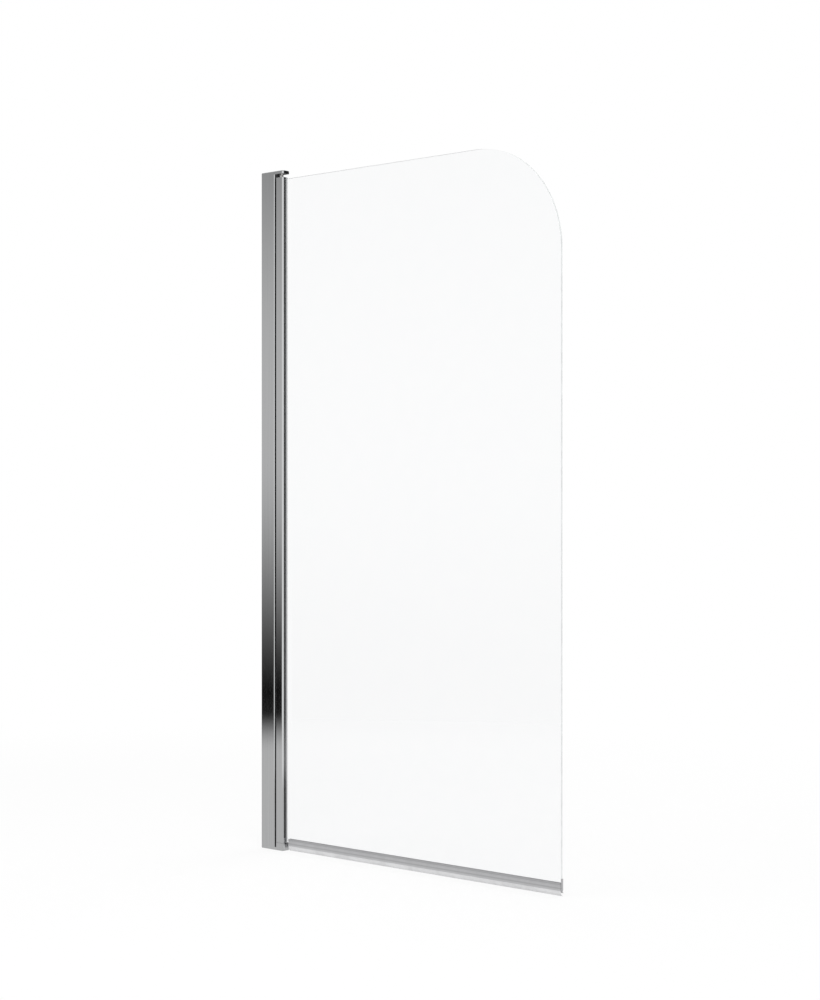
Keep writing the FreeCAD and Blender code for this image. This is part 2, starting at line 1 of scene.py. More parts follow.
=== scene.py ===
"""Looks of a hinged bath screen: its finishes, its moulded trim, the studio and the camera.

Metres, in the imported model's frame: the wall is x = 0, the leaf runs along +X, the room side is
-Y, the bath side is +Y, and z = 0 is the lower end of the wall channel.
"""

import json
import logging
import math
from dataclasses import dataclass, field
from enum import Enum
from typing import Callable, ClassVar

import bmesh
import bpy
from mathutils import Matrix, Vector


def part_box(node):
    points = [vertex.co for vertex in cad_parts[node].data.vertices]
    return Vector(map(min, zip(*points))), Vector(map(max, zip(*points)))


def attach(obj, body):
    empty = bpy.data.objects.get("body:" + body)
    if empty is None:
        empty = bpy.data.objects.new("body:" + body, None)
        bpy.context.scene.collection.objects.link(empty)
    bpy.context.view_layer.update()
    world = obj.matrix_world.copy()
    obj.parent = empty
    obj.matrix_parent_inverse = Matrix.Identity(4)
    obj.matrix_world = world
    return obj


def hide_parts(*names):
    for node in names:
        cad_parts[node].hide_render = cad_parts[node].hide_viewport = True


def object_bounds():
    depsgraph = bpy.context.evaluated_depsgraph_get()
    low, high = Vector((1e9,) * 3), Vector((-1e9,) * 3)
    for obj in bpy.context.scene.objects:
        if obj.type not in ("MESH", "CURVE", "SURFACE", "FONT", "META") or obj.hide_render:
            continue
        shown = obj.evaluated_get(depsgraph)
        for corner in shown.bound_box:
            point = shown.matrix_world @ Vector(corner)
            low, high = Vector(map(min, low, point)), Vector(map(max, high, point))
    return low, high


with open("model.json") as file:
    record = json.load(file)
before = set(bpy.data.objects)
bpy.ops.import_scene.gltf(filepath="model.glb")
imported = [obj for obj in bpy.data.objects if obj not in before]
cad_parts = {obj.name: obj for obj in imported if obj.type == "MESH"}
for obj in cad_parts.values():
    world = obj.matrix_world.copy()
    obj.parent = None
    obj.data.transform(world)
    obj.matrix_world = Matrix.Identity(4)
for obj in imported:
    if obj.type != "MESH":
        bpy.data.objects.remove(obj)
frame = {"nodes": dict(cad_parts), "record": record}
cad_low, cad_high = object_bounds()

log = logging.getLogger("bath_screen")
MM = 0.001
SMOOTH_ANGLE = 35.0
# A face looks along an axis from this share of its normal on.
FACING = 0.9
# An edge is a long one from this many millimetres on, and places this near are the same.
LONG = 100.0
TOUCH = 0.01
Span = tuple[float, float]
Colour = tuple[float, float, float]
Point = tuple[float, float, float]
FaceTest = Callable[[Vector, Vector], bool]
EdgeTest = Callable[[Vector, Vector], bool]


class Body(Enum):
    """The bodies that a piece can ride on."""

    WALL = "wall"
    POST = "post"
    LEAF = "leaf"


class Slot(Enum):
    """The record's material slots."""

    CHROME = "chrome"
    STEEL = "steel"
    ACETAL = "acetal"
    BLACK_RUBBER = "black_rubber"
    BLACK_PLASTIC = "black_plastic"
    CLEAR_GLASS = "clear_glass"
    GREY_VINYL = "grey_vinyl"
    SOFT_VINYL = "soft_vinyl"


class Graph:
    """Short calls to add and join the nodes of one tree."""

    def __init__(self, tree: bpy.types.NodeTree) -> None:
        """Keep the tree and empty it.

        Args:
            tree: The node tree of a material, a world or a node group.
        """
        self.tree = tree
        tree.nodes.clear()

    def add(self, kind: str, **values: object) -> bpy.types.Node:
        """Add a node and set its properties.

        Args:
            kind: The node's type without the ShaderNode prefix, or its full type.
            **values: Properties of the node by name.

        Returns:
            The new node.
        """
        full = kind if kind.startswith("Node") else "ShaderNode" + kind
        node = self.tree.nodes.new(full)
        for name, value in values.items():
            setattr(node, name, value)
        return node

    def feed(self, node: bpy.types.Node, **sources: object) -> bpy.types.Node:
        """Join or set inputs of a node.

        Args:
            node: The node whose inputs are fed.
            **sources: Input names with _ for each space, or i0, i1 for a place. A socket is
                joined, and anything else is set as the input's value.

        Returns:
            The same node.
        """
        for name, source in sources.items():
            plain = name.replace("_", " ")
            socket = node.inputs[int(name[1:]) if name[1:].isdigit() else plain]
            if isinstance(source, bpy.types.NodeSocket):
                self.tree.links.new(source, socket)
            else:
                socket.default_value = source
        return node

    def maths(self, operation: str, first: object, second: object = 0.0) -> bpy.types.NodeSocket:
        """Add a Math node and return its value.

        Args:
            operation: The Math node's operation.
            first: A socket or a number.
            second: A socket or a number.

        Returns:
            The node's value socket.
        """
        node = self.add("Math", operation=operation)
        return self.feed(node, i0=first, i1=second).outputs["Value"]

    def ramp(
        self, value: object, start: float, end: float, low: float = 0.0, high: float = 1.0
    ) -> bpy.types.NodeSocket:
        """Turn a value smoothly from low to high as it goes from start to end.

        Args:
            value: The socket that drives the change.
            start: Where the change starts.
            end: Where the change ends.
            low: The result up to start.
            high: The result from end on.

        Returns:
            The result socket.
        """
        if start > end:
            start, end, low, high = end, start, high, low
        node = self.add("MapRange", interpolation_type="SMOOTHSTEP")
        self.feed(node, Value=value, From_Min=start, From_Max=end, To_Min=low, To_Max=high)
        return node.outputs["Result"]

    def blend(self, factor: object, first: object, second: object) -> bpy.types.NodeSocket:
        """Mix two numbers by a factor.

        Args:
            factor: 0 gives the first and 1 gives the second.
            first: A socket or a number.
            second: A socket or a number.

        Returns:
            The result socket.
        """
        node = self.add("Mix", data_type="FLOAT")
        return self.feed(node, i0=factor, i2=first, i3=second).outputs[0]

    def tint(self, factor: object, first: Colour, second: Colour) -> bpy.types.NodeSocket:
        """Mix two colours by a factor.

        Args:
            factor: 0 gives the first and 1 gives the second.
            first: A plain colour.
            second: A plain colour.

        Returns:
            The result socket.
        """
        node = self.add("Mix", data_type="RGBA")
        self.feed(node, i0=factor, i6=(*first, 1.0), i7=(*second, 1.0))
        return node.outputs[2]

    def group(self, tree: bpy.types.NodeTree, **sources: object) -> bpy.types.Node:
        """Place a node group and feed its inputs.

        Args:
            tree: The node group.
            **sources: Its inputs, as feed takes them.

        Returns:
            The group's node.
        """
        node = self.add("Group", node_tree=tree)
        return self.feed(node, **sources)


def new_group(
    name: str, inputs: dict[str, tuple[str, float]], outputs: dict[str, str]
) -> tuple[bpy.types.NodeTree, Graph, bpy.types.Node, bpy.types.Node]:
    """Make an empty node group with named sockets.

    Args:
        name: The group's name.
        inputs: Each input's name with its kind of socket and its default.
        outputs: Each output's name with its kind of socket.

    Returns:
        The group's tree, its graph, its input node and its output node.
    """
    tree = bpy.data.node_groups.new(name, "ShaderNodeTree")
    for label, (kind, default) in inputs.items():
        socket = tree.interface.new_socket(label, in_out="INPUT", socket_type="NodeSocket" + kind)
        if kind == "Float":
            socket.default_value = default
    for label, kind in outputs.items():
        tree.interface.new_socket(label, in_out="OUTPUT", socket_type="NodeSocket" + kind)
    graph = Graph(tree)
    return tree, graph, graph.add("NodeGroupInput"), graph.add("NodeGroupOutput")


class Effects:
    """Node groups that several finishes share, each built once."""

    def __init__(self) -> None:
        """Build every group."""
        self.drawn_lines = self._drawn_lines()
        self.mould_grain = self._mould_grain()
        self.edge_wear_and_shade = self._edge_wear_and_shade()
        self.studio_plan = self._studio_plan()

    def _drawn_lines(self) -> bpy.types.NodeTree:
        """Build faint lines along Z, as an extrusion die leaves them.

        Returns:
            The group, with Scale and Stretch inputs and Mask and Height outputs.
        """
        tree, graph, given, out = new_group(
            "drawn_lines",
            {"Scale": ("Float", 900.0), "Stretch": ("Float", 0.004)},
            {"Mask": "Float", "Height": "Float"},
        )
        place = graph.add("TexCoord").outputs["Object"]
        size = graph.add("CombineXYZ")
        along = graph.maths("MULTIPLY", given.outputs["Scale"], given.outputs["Stretch"])
        graph.feed(size, X=given.outputs["Scale"], Y=given.outputs["Scale"], Z=along)
        stretched = graph.add("VectorMath", operation="MULTIPLY")
        graph.feed(stretched, i0=place, i1=size.outputs[0])
        noise = graph.add("TexNoise")
        graph.feed(noise, Vector=stretched.outputs[0], Scale=1.0, Detail=3.0, Roughness=0.6)
        graph.feed(out, Mask=graph.ramp(noise.outputs["Fac"], 0.35, 0.7))
        graph.feed(out, Height=noise.outputs["Fac"])
        return tree

    def _mould_grain(self) -> bpy.types.NodeTree:
        """Build the soft mottle and fine grain of a moulded surface.

        Returns:
            The group, with a Scale input and Mottle and Height outputs.
        """
        tree, graph, given, out = new_group(
            "mould_grain",
            {"Scale": ("Float", 1200.0)},
            {"Mottle": "Float", "Height": "Float"},
        )
        place = graph.add("TexCoord").outputs["Object"]
        grain = graph.add("TexNoise")
        graph.feed(grain, Vector=place, Scale=given.outputs["Scale"], Detail=4.0)
        coarse = graph.maths("MULTIPLY", given.outputs["Scale"], 0.04)
        cloud = graph.add("TexNoise")
        graph.feed(cloud, Vector=place, Scale=coarse, Detail=2.0)
        graph.feed(out, Mottle=graph.ramp(cloud.outputs["Fac"], 0.3, 0.7))
        graph.feed(out, Height=grain.outputs["Fac"])
        return tree

    def _edge_wear_and_shade(self) -> bpy.types.NodeTree:
        """Build a mask of the edges, where handling and polish show first, and where some mouldings
        take painted edge shade.

        Returns:
            The group, with a Width input and a Mask output.
        """
        tree, graph, given, out = new_group(
            "edge_wear_and_shade", {"Width": ("Float", 0.0006)}, {"Mask": "Float"}
        )
        rounded = graph.add("Bevel", samples=4)
        graph.feed(rounded, Radius=given.outputs["Width"])
        flat = graph.add("NewGeometry")
        agree = graph.add("VectorMath", operation="DOT_PRODUCT")
        graph.feed(agree, i0=rounded.outputs[0], i1=flat.outputs["Normal"])
        turned = graph.maths("SUBTRACT", 1.0, agree.outputs["Value"])
        noise = graph.add("TexNoise")
        place = graph.add("TexCoord").outputs["Object"]
        graph.feed(noise, Vector=place, Scale=700.0, Detail=3.0)
        worn = graph.maths("MULTIPLY", turned, noise.outputs["Fac"])
        graph.feed(out, Mask=graph.ramp(worn, 0.0, 0.12))
        return tree

    def _studio_plan(self) -> bpy.types.NodeTree:
        """Build the studio's brightness round the object, as metal and glass reflect it.

        The side that faces the camera is a wide softbox. The side behind the free end of the
        leaf is a dark drape.

        Returns:
            The group, with Direction, Base, Away and Shade inputs and a Brightness output. Away
            is 0 where the softbox is hidden, and Shade is 0 where the drape is hidden.
        """
        tree, graph, given, out = new_group(
            "studio_plan",
            {
                "Direction": ("Vector", 0.0),
                "Base": ("Float", 0.5),
                "Away": ("Float", 1.0),
                "Shade": ("Float", 1.0),
            },
            {"Brightness": "Float"},
        )
        level = graph.add("VectorMath", operation="MULTIPLY")
        graph.feed(level, i0=given.outputs["Direction"], i1=(1.0, 1.0, 0.0))
        unit = graph.add("VectorMath", operation="NORMALIZE")
        graph.feed(unit, i0=level.outputs[0])
        softbox = graph.add("VectorMath", operation="DOT_PRODUCT")
        graph.feed(softbox, i0=unit.outputs[0], i1=Studio.CAMERA_SIDE)
        drape = graph.add("VectorMath", operation="DOT_PRODUCT")
        graph.feed(drape, i0=unit.outputs[0], i1=Studio.DRAPE_SIDE)
        facing = graph.ramp(softbox.outputs["Value"], *Studio.SOFTBOX_EDGE)
        lit = graph.maths("MULTIPLY", facing, given.outputs["Away"])
        behind = graph.ramp(drape.outputs["Value"], *Studio.DRAPE_EDGE)
        dark = graph.maths("MULTIPLY", behind, given.outputs["Shade"])
        bright = graph.blend(lit, given.outputs["Base"], Studio.SOFTBOX)
        graph.feed(out, Brightness=graph.blend(dark, bright, Studio.DRAPE))
        return tree


def straight_look(graph: Graph, ray: bpy.types.Node) -> bpy.types.NodeSocket:
    """Tell a look straight from the camera, or through glass, from one that was mirrored.

    Args:
        graph: The graph to add to.
        ray: Its Light Path node.

    Returns:
        A socket that is 1 for a straight look.
    """
    mirrored = graph.maths("MINIMUM", ray.outputs["Glossy Depth"], 1.0)
    unmirrored = graph.maths("SUBTRACT", 1.0, mirrored)
    through = graph.maths("MULTIPLY", ray.outputs["Is Transmission Ray"], unmirrored)
    return graph.maths("MAXIMUM", ray.outputs["Is Camera Ray"], through)


@dataclass(frozen=True)
class Lamp:
    """A square softbox that points at the middle of the screen.

    Its size is the side of the square in metres, and its power is in watts. Only a mirrored
    lamp shows in metal.
    """

    name: str
    place: Point
    size: float
    power: float
    mirrored: bool = False

    def hang(self) -> None:
        """Hang the lamp, which neither the camera nor a look through glass sees."""
        light = bpy.data.lights.new(self.name, "AREA")
        light.shape = "SQUARE"
        light.size = self.size
        light.energy = self.power
        lamp = bpy.data.objects.new(self.name, light)
        bpy.context.scene.collection.objects.link(lamp)
        lamp.visible_camera = False
        lamp.visible_transmission = False
        lamp.visible_glossy = self.mirrored
        lamp.location = self.place
        aim = (cad_low + cad_high) / 2 - Vector(self.place)
        lamp.rotation_euler = aim.to_track_quat("-Z", "Y").to_euler()


class Studio:
    """Pale floor, plain white surroundings and soft lamps.

    CAMERA_SIDE points from the screen to the softbox behind the camera, and DRAPE_SIDE to the
    dark drape, and an EDGE gives the cosines between which either fades. Metal and glass reflect
    the brightnesses from SOFTBOX to FLOOR_FAR_GLOW, and AMBIENT lights what is matte. Elevations
    are in degrees, and what names a floor or a reach is in metres from the screen's foot.
    """

    LAMPS = (
        Lamp("key", (2.6, -2.0, 3.0), 2.0, 46.0, mirrored=True),
        Lamp("fill", (-1.6, -2.8, 2.2), 2.4, 24.0),
        Lamp("back", (0.2, 2.8, 2.6), 2.0, 22.0),
    )
    CAMERA_PLACE = (2.9923, -2.8631, 0.7218)
    CAMERA_AIM = (-0.6703, 0.7421, 0.0)
    CAMERA_LENS = 71.5
    CAMERA_SENSOR = 36.0
    CAMERA_SIDE = (0.745, -0.667, 0.0)
    DRAPE_SIDE = (0.667, 0.745, 0.0)
    SOFTBOX_EDGE: Span = (0.70, 0.92)
    DRAPE_EDGE: Span = (0.80, 0.96)
    SOFTBOX = 0.83
    DRAPE = 0.04
    WALL_GLOW = 0.58
    OVERHEAD = 0.20
    FLOOR_GLOW = 0.57
    FLOOR_FAR_GLOW = 0.01
    AMBIENT = 0.72
    HIGH_WALL_SHARE = 0.4
    WALL_RISE: Span = (-5.9, 1.5)
    WALL_FALL: Span = (3.0, 14.0)
    OVERHEAD_RISE: Span = (20.0, 50.0)
    LOW_FALL: Span = (-15.0, -7.0)
    DRAPE_RISE: Span = (-12.0, -7.0)
    FLOOR_RADIUS = 3.2
    FLOOR_FADE: Span = (1.55, 2.65)
    SOFTBOX_REACH: Span = (0.8, 1.4)
    DRAPE_REACH: Span = (0.9, 1.5)
    DRAPE_FLOOR_SHARE = 0.7
    SHADOW_REACH: Span = (0.9, 2.4)
    FLOOR_OWN_LIGHT = 0.82
    FLOOR_COLOUR: Colour = (0.93, 0.93, 0.93)

    def __init__(self, effects: Effects) -> None:
        """Keep the shared effects.

        Args:
            effects: The node groups.
        """
        self.effects = effects

    def build(self) -> None:
        """Build the world, the floor, the lamps and the camera."""
        self.world()
        self.floor()
        for lamp in self.LAMPS:
            lamp.hang()
        self.camera()
        bpy.context.scene.view_settings.view_transform = "Standard"

    def world(self) -> None:
        """Build surroundings that are white to the camera and a soft room to metal and glass."""
        world = bpy.data.worlds.new("studio")
        bpy.context.scene.world = world
        world.use_nodes = True
        graph = Graph(world.node_tree)
        ray = graph.add("LightPath")
        place = graph.add("TexCoord").outputs["Generated"]
        parts = graph.add("SeparateXYZ")
        graph.feed(parts, Vector=place)
        up = parts.outputs["Z"]

        def climb(elevations: Span, low: float, high: float) -> bpy.types.NodeSocket:
            """Go from low to high between two elevations."""
            start, end = (math.sin(math.radians(degrees)) for degrees in elevations)
            return graph.ramp(up, start, end, low, high)

        rise = climb(self.WALL_RISE, 0.0, self.WALL_GLOW)
        fall = climb(self.WALL_FALL, 1.0, self.HIGH_WALL_SHARE)
        wall = graph.maths("MULTIPLY", rise, fall)
        overhead = climb(self.OVERHEAD_RISE, 0.0, self.OVERHEAD)
        below = climb(self.LOW_FALL, self.FLOOR_GLOW, 0.0)
        base = graph.maths("ADD", graph.maths("ADD", wall, overhead), below)
        shade = climb(self.DRAPE_RISE, 0.0, 1.0)
        plan = graph.group(self.effects.studio_plan, Direction=place, Base=base, Shade=shade)
        seen = straight_look(graph, ray)
        room = graph.blend(ray.outputs["Is Glossy Ray"], self.AMBIENT, plan.outputs["Brightness"])
        background = graph.add("Background")
        graph.feed(background, Color=graph.blend(seen, room, 1.0), Strength=1.0)
        graph.feed(graph.add("OutputWorld"), Surface=background.outputs[0])

    def floor(self) -> None:
        """Lay a round pale floor whose rim melts into the surroundings."""
        bpy.ops.object.select_all(action="DESELECT")
        bpy.ops.mesh.primitive_circle_add(vertices=96, radius=self.FLOOR_RADIUS, fill_type="NGON")
        floor = bpy.context.active_object
        floor.name = "floor"
        material = bpy.data.materials.new("pale_floor")
        material.use_nodes = True
        graph = Graph(material.node_tree)
        ray = graph.add("LightPath")
        place = graph.add("TexCoord").outputs["Object"]
        distance = graph.add("VectorMath", operation="LENGTH")
        graph.feed(distance, i0=place)
        reach = distance.outputs["Value"]
        base = graph.ramp(reach, *self.FLOOR_FADE, self.FLOOR_GLOW, self.FLOOR_FAR_GLOW)
        away = graph.ramp(reach, *self.SOFTBOX_REACH)
        shade = graph.ramp(reach, *self.DRAPE_REACH, 1.0, self.DRAPE_FLOOR_SHARE)
        plan = graph.group(
            self.effects.studio_plan, Direction=place, Base=base, Away=away, Shade=shade
        )
        reflected = graph.add("Emission")
        graph.feed(reflected, Color=plan.outputs["Brightness"], Strength=1.0)
        matte = graph.add("BsdfDiffuse")
        graph.feed(matte, Color=(*self.FLOOR_COLOUR, 1.0))
        glow = graph.add("Emission")
        graph.feed(glow, Color=(1.0, 1.0, 1.0, 1.0), Strength=1.0)
        keep = graph.ramp(reach, *self.SHADOW_REACH, self.FLOOR_OWN_LIGHT, 1.0)
        pale = graph.add("MixShader")
        graph.feed(pale, i0=keep, i1=matte.outputs[0], i2=glow.outputs[0])
        mixed = graph.add("MixShader")
        unseen = graph.maths("SUBTRACT", 1.0, straight_look(graph, ray))
        mirrored = graph.maths("MULTIPLY", ray.outputs["Is Glossy Ray"], unseen)
        graph.feed(mixed, i0=mirrored, i1=pale.outputs[0], i2=reflected.outputs[0])
        graph.feed(graph.add("OutputMaterial"), Surface=mixed.outputs[0])
        floor.data.materials.append(material)

    def camera(self) -> None:
        """Set the camera up level, at the photograph's angle and distance."""
        data = bpy.data.cameras.new("camera")
        data.lens = self.CAMERA_LENS
        data.sensor_width = self.CAMERA_SENSOR
        data.dof.use_dof = False
        camera = bpy.data.objects.new("camera", data)
        bpy.context.scene.collection.objects.link(camera)
        camera.location = self.CAMERA_PLACE
        camera.rotation_euler = Vector(self.CAMERA_AIM).to_track_quat("-Z", "Y").to_euler()
        bpy.context.scene.camera = camera


@dataclass(frozen=True)
class Finish:
    """A finish with one Principled shader, which each kind of finish feeds in its own way."""

    name: str
    colour: Colour
    roughness: float

    def material(self, effects: Effects) -> bpy.types.Material:
        """Build the finish's material.

        Args:
            effects: The shared node groups.

        Returns:
            The material.
        """
        material = bpy.data.materials.new(self.name)
        material.use_nodes = True
        material.diffuse_color = (*self.colour, 1.0)
        graph = Graph(material.node_tree)
        shader = graph.add("BsdfPrincipled")
        self.dress(graph, shader, effects)
        surface = self.surface(graph, shader)
        graph.feed(graph.add("OutputMaterial"), Surface=surface)
        return material

    def dress(self, graph: Graph, shader: bpy.types.Node, effects: Effects) -> None:
        """Feed the shader. Each kind of finish has its own way.

        Args:
            graph: The material's graph.
            shader: The Principled shader.
            effects: The shared node groups.
        """
        raise NotImplementedError

    def surface(self, graph: Graph, shader: bpy.types.Node) -> bpy.types.NodeSocket:
        """Return the shader socket that the material shows."""
        return shader.outputs[0]


@dataclass(frozen=True)
class PlatedMetal(Finish):
    """Bright plate over drawn metal: faint lines along Z and softer edges."""

    line_depth: float = 0.02
    line_scale: float = 900.0
    line_share: float = 0.94
    line_roughness: float = 1.6
    worn_roughness: float = 3.0
    worn_width: float = 0.0005

    def dress(self, graph: Graph, shader: bpy.types.Node, effects: Effects) -> None:
        """Feed the shader with lines and worn edges.

        Args:
            graph: The material's graph.
            shader: The Principled shader.
            effects: The shared node groups.
        """
        lines = graph.group(effects.drawn_lines, Scale=self.line_scale)
        edge_mask = graph.group(effects.edge_wear_and_shade, Width=self.worn_width)
        darker = tuple(self.line_share * part for part in self.colour)
        lined = self.roughness * self.line_roughness
        rough = graph.blend(lines.outputs["Mask"], self.roughness, lined)
        worn = graph.blend(edge_mask.outputs["Mask"], rough, self.roughness * self.worn_roughness)
        bump = graph.add("Bump")
        graph.feed(bump, Strength=self.line_depth, Distance=0.00002, Height=lines.outputs["Height"])
        graph.feed(
            shader,
            Base_Color=graph.tint(lines.outputs["Mask"], self.colour, darker),
            Metallic=1.0,
            Roughness=worn,
            Normal=bump.outputs[0],
        )


@dataclass(frozen=True)
class Moulding(Finish):
    """A moulded or extruded plastic or rubber with a fine grain and a rim of its own colour, which
    is painted edge shade on some finishes.

    Each shade band is a lower and an upper height, in metres, between which the body is darker:
    painted shade.
    """

    rim: Colour = (0.5, 0.5, 0.5)
    grain: float = 0.15
    rim_width: float = 0.0004
    rim_share: float = 0.5
    shade_bands: tuple[tuple[float, float], ...] = ()
    band_share: float = 0.88
    band_blur: float = 0.0002
    grain_scale: float = 1400.0
    grain_roughness: float = 1.25

    def dress(self, graph: Graph, shader: bpy.types.Node, effects: Effects) -> None:
        """Feed the shader with grain, mottle, a rim of its own colour and any painted shade bands.

        Args:
            graph: The material's graph.
            shader: The Principled shader.
            effects: The shared node groups.
        """
        grain = graph.group(effects.mould_grain, Scale=self.grain_scale)
        edge_mask = graph.group(effects.edge_wear_and_shade, Width=self.rim_width)
        deeper = tuple(self.band_share * part for part in self.colour)
        mottle_and_shade = grain.outputs["Mottle"]
        # Painted shade: each shade band darkens the body between two heights.
        if self.shade_bands:
            parts = graph.add("SeparateXYZ")
            graph.feed(parts, Vector=graph.add("TexCoord").outputs["Object"])
            height = parts.outputs["Z"]
            mottle_and_shade = graph.maths("MULTIPLY", mottle_and_shade, 0.3)
            for low, high in self.shade_bands:
                above = graph.ramp(height, low - self.band_blur, low + self.band_blur)
                below = graph.ramp(height, high - self.band_blur, high + self.band_blur, 1.0, 0.0)
                mottle_and_shade = graph.maths("ADD", mottle_and_shade, graph.maths("MULTIPLY", above, below))
        # The rim follows the edge mask: wear on most finishes, painted edge shade on the grey vinyl
        # and on the end stop's second copy.
        body = graph.add("Mix", data_type="RGBA")
        share = graph.maths("MULTIPLY", edge_mask.outputs["Mask"], self.rim_share)
        graph.feed(body, i0=share, i6=graph.tint(mottle_and_shade, self.colour, deeper), i7=(*self.rim, 1.0))
        grained = self.roughness * self.grain_roughness
        rough = graph.blend(grain.outputs["Mottle"], self.roughness, grained)
        bump = graph.add("Bump")
        graph.feed(bump, Strength=self.grain, Distance=0.00003, Height=grain.outputs["Height"])
        graph.feed(
            shader,
            Base_Color=body.outputs[2],
            Roughness=rough,
            Normal=bump.outputs[0],
        )


@dataclass(frozen=True)
class ClearGlass(Finish):
    """Clear toughened glass."""

    deeper: Colour = (0.978, 0.982, 0.986)
    cast: Colour = (0.93, 0.94, 0.94)
    smear: float = 0.01
    index: float = 1.3

    def dress(self, graph: Graph, shader: bpy.types.Node, effects: Effects) -> None:
        """Feed the shader with a faint mottle.

        Args:
            graph: The material's graph.
            shader: The Principled shader.
            effects: The shared node groups.
        """
        grain = graph.group(effects.mould_grain, Scale=900.0)
        bump = graph.add("Bump")
        graph.feed(bump, Strength=0.02, Distance=0.00005, Height=grain.outputs["Mottle"])
        smeared = self.roughness + self.smear
        rough = graph.ramp(grain.outputs["Mottle"], 0.0, 1.0, self.roughness, smeared)
        graph.feed(
            shader,
            Base_Color=graph.tint(grain.outputs["Mottle"], self.colour, self.deeper),
            Roughness=rough,
            IOR=self.index,
            Transmission_Weight=1.0,
            Normal=bump.outputs[0],
        )

    def surface(self, graph: Graph, shader: bpy.types.Node) -> bpy.types.NodeSocket:
        """Let light through to the floor, so that the glass casts only a faint shadow.

        Args:
            graph: The material's graph.
            shader: The Principled shader.

        Returns:
            The mixed shader socket.
        """
        shadow = graph.add("LightPath").outputs["Is Shadow Ray"]
        clear = graph.add("BsdfTransparent")
        graph.feed(clear, Color=(*self.cast, 1.0))
        mixed = graph.add("MixShader")
        graph.feed(mixed, i0=shadow, i1=shader.outputs[0], i2=clear.outputs[0])
        return mixed.outputs[0]


class Finishes:
    """Every finish of the screen, by the record's slot, and two of painted shade for parts of a
    piece.
    """

    PLAN = {
        Slot.CHROME: PlatedMetal("bright_chrome", (0.72, 0.726, 0.732), 0.045),
        Slot.STEEL: PlatedMetal("plain_steel", (0.50, 0.49, 0.48), 0.22, 0.08, 1600.0),
        Slot.ACETAL: Moulding("white_acetal", (0.70, 0.70, 0.68), 0.34, (0.8, 0.8, 0.78)),
        Slot.BLACK_RUBBER: Moulding(
            "black_rubber", (0.055, 0.055, 0.057), 0.5, rim=(0.08, 0.08, 0.08), grain=0.3
        ),
        Slot.BLACK_PLASTIC: Moulding(
            "black_plastic", (0.008, 0.008, 0.009), 0.4, rim=(0.03, 0.03, 0.03), grain=0.1
        ),
        Slot.CLEAR_GLASS: ClearGlass("clear_glass", (0.984, 0.987, 0.990), 0.0),
        # Painted shade on the grey vinyl: its darker rim draws dark lines along the rail's edges
        # and grooves, and its bands darken it between 13.7 and 16 mm and from 21 mm up.
        Slot.GREY_VINYL: Moulding(
            "grey_vinyl",
            (0.45, 0.45, 0.46),
            0.28,
            rim=(0.30, 0.30, 0.31),
            grain=0.08,
            shade_bands=((0.0137, 0.0160), (0.0210, 0.05)),
            band_share=0.78,
        ),
        Slot.SOFT_VINYL: Moulding(
            "soft_vinyl", (0.70, 0.70, 0.71), 0.25, rim=(0.62, 0.62, 0.63), grain=0.05
        ),
    }
    # Painted shade: a second copy of the rail's vinyl, with its own colours and a wide darker rim,
    # for the end stop's end face and underside.
    STOP_SHADED_SIDE = Moulding(
        "painted_shade_vinyl",
        (0.50, 0.50, 0.51),
        0.35,
        rim=(0.34, 0.34, 0.34),
        rim_width=0.0006,
        rim_share=0.6,
    )
    # Painted edge line: an opaque pale grey copy of glass for the pane's edge faces, standing for
    # the darker line that light bent and mirrored in a glass edge draws.
    GLASS_EDGE_SHADE = Moulding(
        "painted_glass_edge", (0.84, 0.86, 0.86), 0.5, rim=(0.88, 0.90, 0.90), grain=0.1
    )

    def __init__(self, effects: Effects) -> None:
        """Build one material for each slot.

        Args:
            effects: The shared node groups.
        """
        self.materials = {slot: plan.material(effects) for slot, plan in self.PLAN.items()}
        self.end_stop = self.STOP_SHADED_SIDE.material(effects)
        self.glass_edge_shade = self.GLASS_EDGE_SHADE.material(effects)

    def dress(self, piece: bpy.types.Object, slot: Slot) -> None:
        """Put a finish on all of a piece.

        Args:
            piece: The piece, whose material slots are filled.
            slot: The finish.
        """
        if not piece.material_slots:
            piece.data.materials.append(self.materials[slot])
        for place in piece.material_slots:
            place.material = self.materials[slot]


